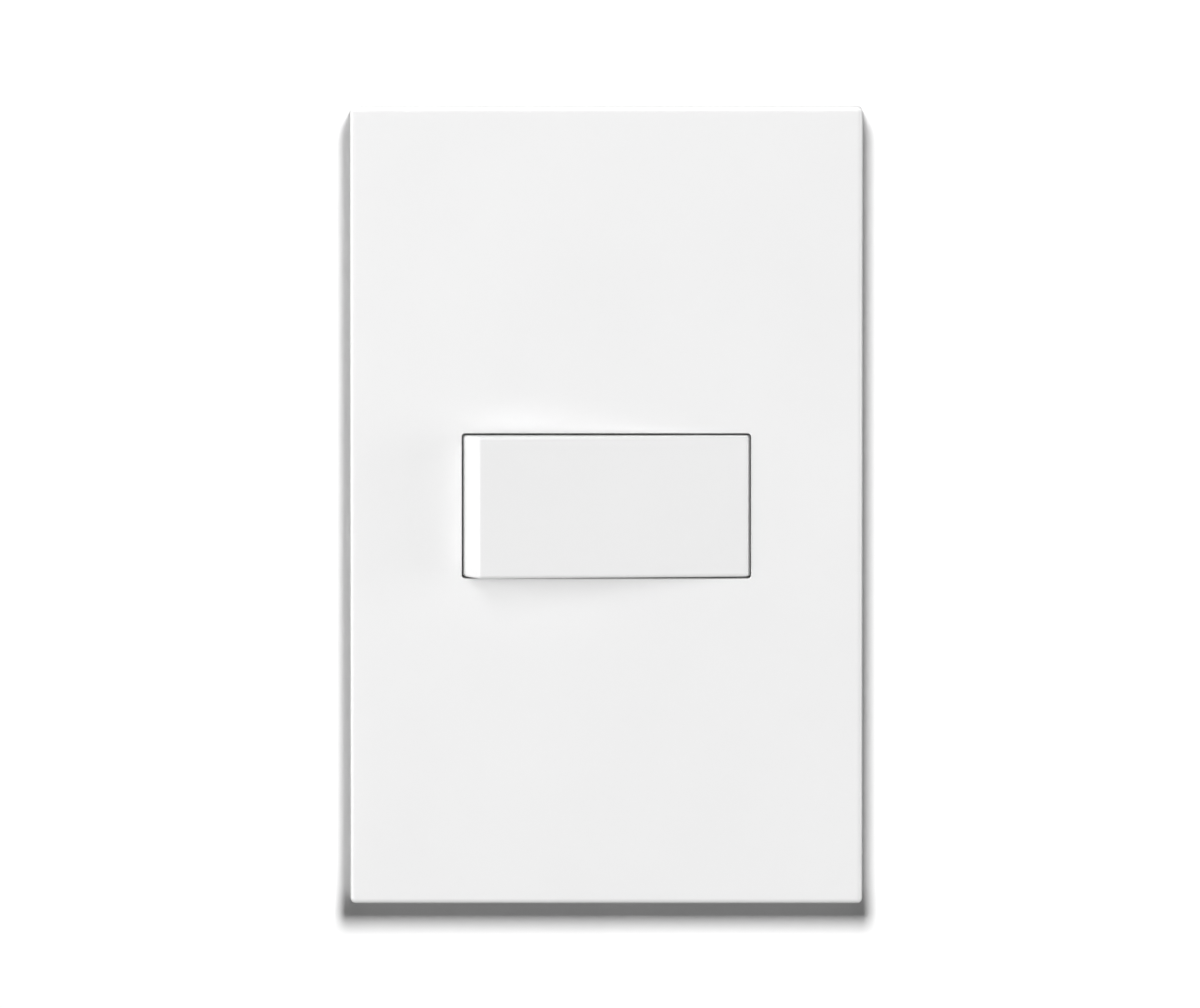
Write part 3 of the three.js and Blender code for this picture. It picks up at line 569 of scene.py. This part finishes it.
def moving_contact_rows():
    """A silver rivet contact through the lever: a formed head in front, and a domed face behind."""
    front, back = LEVER_TOP, LEVER_TOP + LEVER_THICKNESS
    radii, above = dome(CONTACT_FACE_RADIUS - SEAT, 0.3 * MM)
    formed_head = [
        (0, front - 0.5 * MM),
        (CONTACT_HEAD_RADIUS - 0.25 * MM, front - 0.46 * MM),
        (CONTACT_HEAD_RADIUS, front - 0.28 * MM),
        (CONTACT_HEAD_RADIUS, front - SEAT),
    ]
    shank = [(CONTACT_SHANK_RADIUS, front - SEAT), (CONTACT_SHANK_RADIUS, back + SEAT)]
    face_side = [(CONTACT_FACE_RADIUS, back + SEAT), (CONTACT_FACE_RADIUS, back + 0.42 * MM)]
    face = [(r, back + 0.5 * MM + a) for r, a in zip(radii, above)]
    profile = formed_head + shank + face_side + face
    points = turned_rows(*np.array(profile).T) + np.array([CONTACT_PLACE, 0, 0])
    return turned_about_z(points, LEVER_PIVOT, LEVER_REST)


def fixed_contact_rows():
    """The silver rivet contact in the switched strip, its domed face forwards."""
    low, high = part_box("fixed_contact")
    dome_height = 0.3 * MM
    radii, above = dome(FIXED_DOME_RADIUS, dome_height)
    face = [(r, low.y + dome_height - a) for r, a in zip(radii[::-1], above[::-1])]
    face_side = [(FIXED_FACE_RADIUS, low.y + 0.38 * MM), (FIXED_FACE_RADIUS, STRIP_FRONT - SEAT)]
    shank = [(CONTACT_SHANK_RADIUS, STRIP_FRONT - SEAT), (CONTACT_SHANK_RADIUS, STRIP_BACK + SEAT)]
    formed_head = [
        (CONTACT_HEAD_RADIUS, STRIP_BACK + SEAT),
        (CONTACT_HEAD_RADIUS - 0.1 * MM, high.y - 0.04 * MM),
        (CONTACT_HEAD_RADIUS - 0.3 * MM, high.y),
        (0, high.y),
    ]
    profile = face + face_side + shank + formed_head
    return turned_rows(*np.array(profile).T) + np.array([(low.x + high.x) / 2, 0, 0])


def strip_rivet_rows(node):
    """A brass rivet, domed in front, whose shank joins a strip to its terminal block."""
    low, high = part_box(node)
    dome_height, head_height, chamfer = 0.45 * MM, 0.6 * MM, 0.2 * MM
    radii, above = dome(RIVET_HEAD_RADIUS - 0.05 * MM, dome_height)
    head = [(r, low.y + dome_height - a) for r, a in zip(radii[::-1], above[::-1])]
    head += [(RIVET_HEAD_RADIUS, low.y + 0.5 * MM), (RIVET_HEAD_RADIUS, low.y + head_height)]
    shank = [(RIVET_SHANK_RADIUS, low.y + head_height), (RIVET_SHANK_RADIUS, high.y - chamfer)]
    profile = head + shank + [(RIVET_SHANK_RADIUS - chamfer, high.y), (0, high.y)]
    centre = (low + high) / 2
    return turned_rows(*np.array(profile).T, columns=32) + np.array([centre.x, 0, centre.z])


# ------------------------------------------------------------------ materials


def linear(hex_colour):
    """A hex sRGB colour as the linear red, green, blue and alpha that shaders take."""
    parts = [int(hex_colour[i : i + 2], 16) / 255 for i in (1, 3, 5)]
    return (*(p / 12.92 if p <= 0.04045 else ((p + 0.055) / 1.055) ** 2.4 for p in parts), 1.0)


def add(tree, kind, inputs, output=0, **settings):
    """Adds a node and returns one of its outputs. An input is a value, or the output of another node."""
    node = tree.nodes.new(kind)
    for name, value in settings.items():
        setattr(node, name, value)
    for socket, value in inputs.items():
        if isinstance(value, bpy.types.NodeSocket):
            tree.links.new(value, node.inputs[socket])
        else:
            node.inputs[socket].default_value = value
    return node.outputs[output] if node.outputs else node


def new_material(name):
    """An empty material: itself, its tree and the object coordinates."""
    material = bpy.data.materials.new(name)
    material.use_nodes = True
    material.node_tree.nodes.clear()
    return material, material.node_tree, add(material.node_tree, "ShaderNodeTexCoord", {}, "Object")


def moulded_plastic(name, light, dark, roughness, spread, flow, grain, relief, fixed=None):
    """Injection-moulded plastic: a slow drift of colour where the melt flowed, and a mould's skin in relief.

    spread is how far the roughness strays either way. flow and grain are the sizes of the drift and of the
    skin's grain, and relief is the grain's depth. fixed holds whatever else the shader needs.
    """
    material, tree, place = new_material(name)
    drift = add(tree, "ShaderNodeTexNoise", {"Vector": place, "Scale": 1 / flow, "Detail": 3.0})
    mould = {"Vector": place, "Scale": 1 / grain, "Detail": 3.0, "Roughness": 0.6}
    skin = add(tree, "ShaderNodeTexNoise", mould)
    share = add(tree, "ShaderNodeMapRange", {"Value": drift, "From Min": 0.3, "From Max": 0.7})
    colour = {"Factor": share, 6: linear(dark), 7: linear(light)}
    gloss = {"Value": skin, "From Min": 0.3, "From Max": 0.7}
    gloss.update({"To Min": roughness - spread, "To Max": roughness + spread})
    waves = add(tree, "ShaderNodeBump", {"Height": drift, "Distance": 0.012 * MM})
    inputs = {
        "Base Color": add(tree, "ShaderNodeMix", colour, 2, data_type="RGBA"),
        "Roughness": add(tree, "ShaderNodeMapRange", gloss),
        "Normal": add(tree, "ShaderNodeBump", {"Height": skin, "Distance": relief, "Normal": waves}),
        "IOR": 1.53,
        **(fixed or {}),
    }
    add(tree, "ShaderNodeOutputMaterial", {"Surface": add(tree, "ShaderNodeBsdfPrincipled", inputs)})
    return material


def worked_metal(name, light, dark, roughness, streak, stretch, relief, stain=6 * MM):
    """Bare metal: streaks left by rolling, turning or drawing, and a slow tarnish that dulls it in patches.

    streak is the streaks' width, and they run long in the directions where stretch is small. stain is the
    size of the tarnish's patches.
    """
    material, tree, place = new_material(name)
    drawn_out = add(tree, "ShaderNodeMapping", {"Vector": place, "Scale": stretch})
    lines = {"Vector": drawn_out, "Scale": 1 / streak, "Detail": 4.0, "Roughness": 0.65}
    streaks = add(tree, "ShaderNodeTexNoise", lines)
    patches = {"Vector": place, "Scale": 1 / stain, "Detail": 4.0, "Roughness": 0.6}
    tarnish = add(tree, "ShaderNodeTexNoise", patches)
    both = add(tree, "ShaderNodeMath", {0: streaks, 1: tarnish}, operation="ADD")
    share = add(tree, "ShaderNodeMapRange", {"Value": both, "From Min": 0.75, "From Max": 1.25})
    dulled = {"Value": share, "To Min": roughness + 0.1, "To Max": roughness - 0.05}
    colour = {"Factor": share, 6: linear(dark), 7: linear(light)}
    inputs = {
        "Base Color": add(tree, "ShaderNodeMix", colour, 2, data_type="RGBA"),
        "Roughness": add(tree, "ShaderNodeMapRange", dulled),
        "Normal": add(tree, "ShaderNodeBump", {"Height": streaks, "Distance": relief}),
        "Metallic": 1.0,
    }
    add(tree, "ShaderNodeOutputMaterial", {"Surface": add(tree, "ShaderNodeBsdfPrincipled", inputs)})
    return material


def soaked(weight):
    """Light that scatters a little way into undyed plastic."""
    return {
        "Subsurface Weight": weight,
        "Subsurface Radius": (1.0, 0.8, 0.6),
        "Subsurface Scale": 0.6 * MM,
    }


FINISHES = {
    # Gloss white ABS from a polished mould: an even, bright skin with soft reflections and the faintest
    # waviness. The waves are 9 mm long, coarser than a mould leaves, so that they bend a reflection instead
    # of speckling it.
    "gloss_white_abs": moulded_plastic(
        "gloss_white_abs_moulded", "#f2f2f2", "#f0f0f0", 0.3, 0.02, 24 * MM, 9 * MM, 0.006 * MM
    ),
    # Off-white polyamide from a spark-eroded mould: a fine sandy grain, drawn at 0.35 mm so that it shows.
    "matt_white_polyamide": moulded_plastic(
        "matt_white_polyamide_spark_eroded", "#e6e7e4", "#dcddd9", 0.52, 0.04, 14 * MM, 0.35 * MM, 0.014 * MM
    ),
    # Light grey glass-filled polyamide: duller, with a coarser grain and faint clouds where fibres surface.
    # The grain is drawn at 0.45 mm so that it shows.
    "grey_polyamide": moulded_plastic(
        "grey_polyamide_glass_filled", "#c7c9c8", "#bdc0bf", 0.58, 0.04, 9 * MM, 0.45 * MM, 0.02 * MM
    ),
    # Undyed polyamide: creamy and a little waxy, with light soaking into its edges.
    "natural_polyamide": moulded_plastic(
        "natural_polyamide_moulded",
        "#e6e1d0",
        "#dcd6c2",
        0.42,
        0.04,
        6 * MM,
        0.3 * MM,
        0.006 * MM,
        soaked(0.15),
    ),
    # Undyed acetal: smooth, dense and slippery, close to ivory.
    "natural_acetal": moulded_plastic(
        "natural_acetal_moulded", "#eceae1", "#e4e1d6", 0.27, 0.03, 4 * MM, 0.25 * MM, 0.003 * MM, soaked(0.1)
    ),
    # Patented spring wire: dark, with fine draw marks.
    "spring_steel": worked_metal(
        "spring_steel_drawn", "#a3a5a8", "#7d8084", 0.3, 0.12 * MM, (1, 1, 1), 0.003 * MM
    ),
    # Rolled copper alloy for the lever: warm, with rolling lines along its length.
    "contact_copper": worked_metal(
        "copper_alloy_rolled", "#d68f66", "#b06a45", 0.3, 0.16 * MM, (0.08, 1, 1), 0.004 * MM
    ),
    # Silver alloy contacts: pale, soft and slightly dulled by switching.
    "contact_silver": worked_metal(
        "silver_alloy_contact", "#eeece6", "#cfccc3", 0.26, 0.2 * MM, (1, 1, 1), 0.003 * MM, 1.2 * MM
    ),
    # Stamped brass strip: rolling lines along its length and a yellow tarnish.
    "strip_brass": worked_metal(
        "brass_strip_rolled", "#e3c06e", "#bd9446", 0.3, 0.16 * MM, (0.08, 1, 1), 0.004 * MM
    ),
    # Machined brass blocks: cutter marks across the bar.
    "terminal_brass": worked_metal(
        "brass_bar_machined", "#dcb865", "#b38a3c", 0.28, 0.22 * MM, (1, 0.06, 1), 0.006 * MM
    ),
    # Zinc-plated steel: bright, blue-white passivate over rolled threads.
    "zinc_plated_steel": worked_metal(
        "zinc_plated_steel_bright", "#d3d8dd", "#aab1b8", 0.26, 0.18 * MM, (1, 0.2, 1), 0.003 * MM, 3 * MM
    ),
}


# ------------------------------------------------------------------ the switch


PARTS = []


def fit(piece, body, slot, *nodes):
    """Gives a piece its finish, the body that it moves with and the CAD nodes that it stands for."""
    piece.data.materials.clear()
    piece.data.materials.append(FINISHES[slot])
    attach(piece, body)
    if nodes:
        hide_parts(*nodes)
    PARTS.append(piece)
    return piece


def fit_softened(node, body, slot, edge, segments=2):
    """Fits a softened copy of a CAD node in its place."""
    return fit(softened(node, edge, segments), body, slot, node)


plate = piece_from_grids("cover_plate_shell", [plate_shell()], ring=True)
fit(plate, "switch_body", "gloss_white_abs", "wall_plate")
ribs = piece_from_grids("cover_plate_ribs_and_hooks", plate_ribs())
round_edges(ribs, 0.15 * MM)
fit(ribs, "switch_body", "gloss_white_abs")

fit_softened("support_frame", "switch_body", "matt_white_polyamide", 0.25 * MM, 3)
fit_softened("module_frame", "switch_body", "matt_white_polyamide", 0.18 * MM)
fit_softened("housing_base", "switch_body", "grey_polyamide", 0.2 * MM, 3)

key = piece_from_grids("rocker_key", [key_shell()])
fit(key, "rocker", "gloss_white_abs", "rocker_cap")
fit_softened("rocker_carrier", "rocker", "natural_polyamide", 0.12 * MM)
fit(piece_from_grids("plunger_pin", [plunger_rows()]), "plunger_pin", "natural_acetal", "plunger")

coil = piece_from_grids("plunger_coil_spring", [spring_rows()])
spring = fit(coil, "rocker", "spring_steel", "plunger_spring")
spring_axis = np.array([[0, SPRING_SPAN[0], 0], [0, SPRING_SPAN[1], 0]])
spring_ends = turned_about_z(spring_axis, ROCKER_PIVOT, ROCKER_REST)
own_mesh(spring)

fit_softened("contact_lever", "seesaw_lever", "contact_copper", 0.1 * MM)
lever_contact = piece_from_grids("lever_contact", [moving_contact_rows()])
fit(lever_contact, "seesaw_lever", "contact_silver", "moving_contact")
strip_contact = piece_from_grids("strip_contact", [fixed_contact_rows()])
fit(strip_contact, "switch_body", "contact_silver", "fixed_contact")

for pole in ("common", "switched"):
    fit_softened(pole + "_contact_strip", "switch_body", "strip_brass", 0.08 * MM)
    fit_softened(pole + "_terminal_block", "switch_body", "terminal_brass", 0.15 * MM)
    rivet = piece_from_grids(pole + "_rivet", [strip_rivet_rows(pole + "_strip_rivet")])
    fit(rivet, "switch_body", "strip_brass", pole + "_strip_rivet")
    clamp = piece_from_grids(pole + "_clamp_screw", [clamp_screw_rows(pole + "_terminal_screw")])
    fit(clamp, pole + "_clamp_screw", "zinc_plated_steel", pole + "_terminal_screw")

for place, side in (("upper", 1), ("lower", -1)):
    node = "box_screw_" + place
    height = (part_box(node)[0].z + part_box(node)[1].z) / 2
    screw = piece_from_grids("fixing_screw_" + place, [box_screw_rows(height)])
    fit(screw, "switch_body", "zinc_plated_steel", node)

# ------------------------------------------------------------------ wall, floor, light and camera

VIEW_DISTANCE = 3000 * MM
VIEW_WIDTH = 177.6 * MM
VIEW_ELEVATION = math.radians(3.5)
VIEW_CENTRE = (-0.95 * MM, 0.3 * MM)


def plane(name, corner, along, up):
    """A flat sheet from a corner and its two sides."""
    mesh = bpy.data.meshes.new(name)
    corner, along, up = (np.array(v, float) for v in (corner, along, up))
    points = [corner, corner + along, corner + along + up, corner + up]
    mesh.from_pydata([tuple(p) for p in points], [], [(0, 1, 2, 3)])
    sheet = bpy.data.objects.new(name, mesh)
    bpy.context.scene.collection.objects.link(sheet)
    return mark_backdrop(sheet) or sheet


def painted_wall():
    """Matt white wall paint, seen only from the room: from behind, the sheet lets everything through."""
    material, tree, _ = new_material("matt_white_wall_paint")
    paint = {"Base Color": linear("#ffffff"), "Roughness": 0.9, "Specular IOR Level": 0.0}
    sides = {
        0: add(tree, "ShaderNodeNewGeometry", {}, "Backfacing"),
        1: add(tree, "ShaderNodeBsdfPrincipled", paint),
        2: add(tree, "ShaderNodeBsdfTransparent", {}),
    }
    add(tree, "ShaderNodeOutputMaterial", {"Surface": add(tree, "ShaderNodeMixShader", sides)})
    return material


def pale_floor():
    """Pale matt floor, well below the switch. Its glow stands in for the softboxes, which miss it."""
    material, tree, _ = new_material("pale_matt_floor")
    matt = {"Base Color": linear("#f2f2f2"), "Roughness": 0.8, "Specular IOR Level": 0.0}
    matt.update({"Emission Color": linear("#ffffff"), "Emission Strength": 0.6})
    add(tree, "ShaderNodeOutputMaterial", {"Surface": add(tree, "ShaderNodeBsdfPrincipled", matt)})
    return material


def only_seen(sheet):
    """Leaves a sheet to the camera alone: it neither shades nor lights the switch."""
    sheet.visible_diffuse = False
    sheet.visible_glossy = False
    sheet.visible_transmission = False
    sheet.visible_shadow = False


def softbox(name, size, power, position, objects):
    """A rectangular light that faces the switch and lights only the given objects."""
    data = bpy.data.lights.new(name, "AREA")
    data.shape = "RECTANGLE"
    data.size, data.size_y = size
    data.energy = power
    lamp = bpy.data.objects.new(name, data)
    bpy.context.scene.collection.objects.link(lamp)
    lamp.location = position
    lamp.rotation_euler = (-lamp.location).to_track_quat("-Z", "Y").to_euler()
    lamp.visible_camera = False
    lit = bpy.data.collections.new(name + " lights")
    for piece in objects:
        lit.objects.link(piece)
    lamp.light_linking.receiver_collection = lit
    return lamp


wall_plane = 0.2 * MM
wall_paint = painted_wall()
walls = {}
for side, name in ((-1, "wall_sheet_left"), (1, "wall_sheet_right")):
    start, along = (0, 3) if side > 0 else (-3, 3)
    walls[side] = plane(name, (start, wall_plane, -0.2), (along, 0, 0), (0, 0, 3.2))
    walls[side].data.materials.append(wall_paint)
    only_seen(walls[side])
floor = plane("floor_sheet", (-3, -3, -0.2), (6, 0, 0), (0, 6, 0))
floor.data.materials.append(pale_floor())
only_seen(floor)

softbox("window light", (0.45, 0.45), 2.3, (-0.3, -0.65, 0.62), PARTS)
softbox("left light", (0.3, 0.5), 4.8, (-0.87, -0.22, 0.05), PARTS)
softbox("right light", (0.4, 0.5), 2.8, (0.9, -0.3, 0.0), PARTS)
softbox("front light", (2.0, 2.0), 18.7, (0.1, -1.8, 0), PARTS)
softbox("top light", (0.8, 0.3), 7, (0, 0.1, 0.9), PARTS)
softbox("low light", (1.0, 0.5), 1.2, (0, -0.3, -0.9), PARTS)
softbox("back light", (0.8, 0.8), 14, (-0.7, 1.0, 0.9), PARTS)
for side, lean, width in ((-1, 0.6, 0.6), (1, -0.44, 0.75)):
    softbox("wall light", (width, 1.0), 118, (lean, -3, 1.3), [walls[side]])

world = bpy.data.worlds.new("white studio")
world.use_nodes = True
sky = world.node_tree
sky.nodes.clear()
# The studio looks white to the camera, and lights the switch more gently.
seen = add(sky, "ShaderNodeLightPath", {}, "Is Camera Ray")
strength = add(sky, "ShaderNodeMapRange", {"Value": seen, "To Min": 0.12, "To Max": 0.9})
glow = add(sky, "ShaderNodeBackground", {"Color": linear("#ffffff"), "Strength": strength})
add(sky, "ShaderNodeOutputWorld", {"Surface": glow})
bpy.context.scene.world = world
bpy.context.scene.view_settings.view_transform = "Standard"

camera_data = bpy.data.cameras.new("camera")
camera_data.sensor_width = 36
camera_data.lens = camera_data.sensor_width * VIEW_DISTANCE / VIEW_WIDTH
camera = bpy.data.objects.new("camera", camera_data)
bpy.context.scene.collection.objects.link(camera)
back, up = VIEW_DISTANCE * math.cos(VIEW_ELEVATION), VIEW_DISTANCE * math.sin(VIEW_ELEVATION)
camera.location = (VIEW_CENTRE[0], PLATE_LOW.y - back, VIEW_CENTRE[1] + up)
camera.rotation_euler = (math.pi / 2 - VIEW_ELEVATION, 0, 0)
bpy.context.scene.camera = camera
